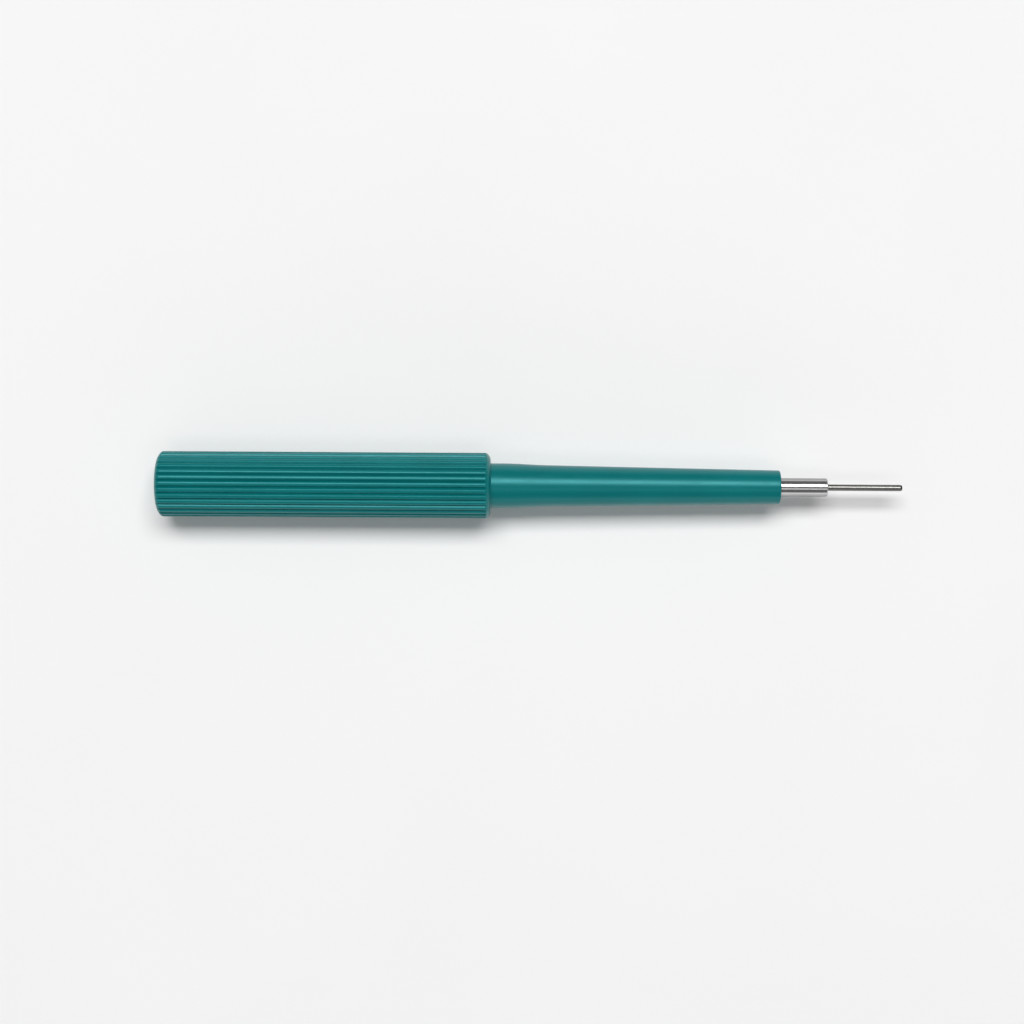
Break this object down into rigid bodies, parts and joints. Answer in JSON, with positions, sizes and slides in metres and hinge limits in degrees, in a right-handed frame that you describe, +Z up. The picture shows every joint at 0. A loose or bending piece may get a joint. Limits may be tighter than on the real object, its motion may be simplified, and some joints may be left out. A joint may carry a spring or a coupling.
{
  "type": "biopsy punch",
  "caption": "Disposable biopsy punch: a teal moulded handle with a ribbed grip and tapering nose, a steel sleeve and a fine steel tube with a ring-shaped cutting edge.",
  "frame": {"origin": "on the surface that the punch lies on, under the middle of its length", "axes": "+X along the punch towards its cutting edge, +Y across it, +Z up"},
  "size_m": [0.119, 0.0104, 0.0105],
  "materials": {
    "teal_plastic": "moulded, semi-gloss",
    "sleeve_steel": "ground and polished stainless steel",
    "tube_steel": "drawn stainless steel tube, sharpened at the end"
  },
  "bodies": {
    "root": {"handle": "teal_plastic", "shank": "sleeve_steel", "cannula": "tube_steel"}
  },
  "joints": []
}
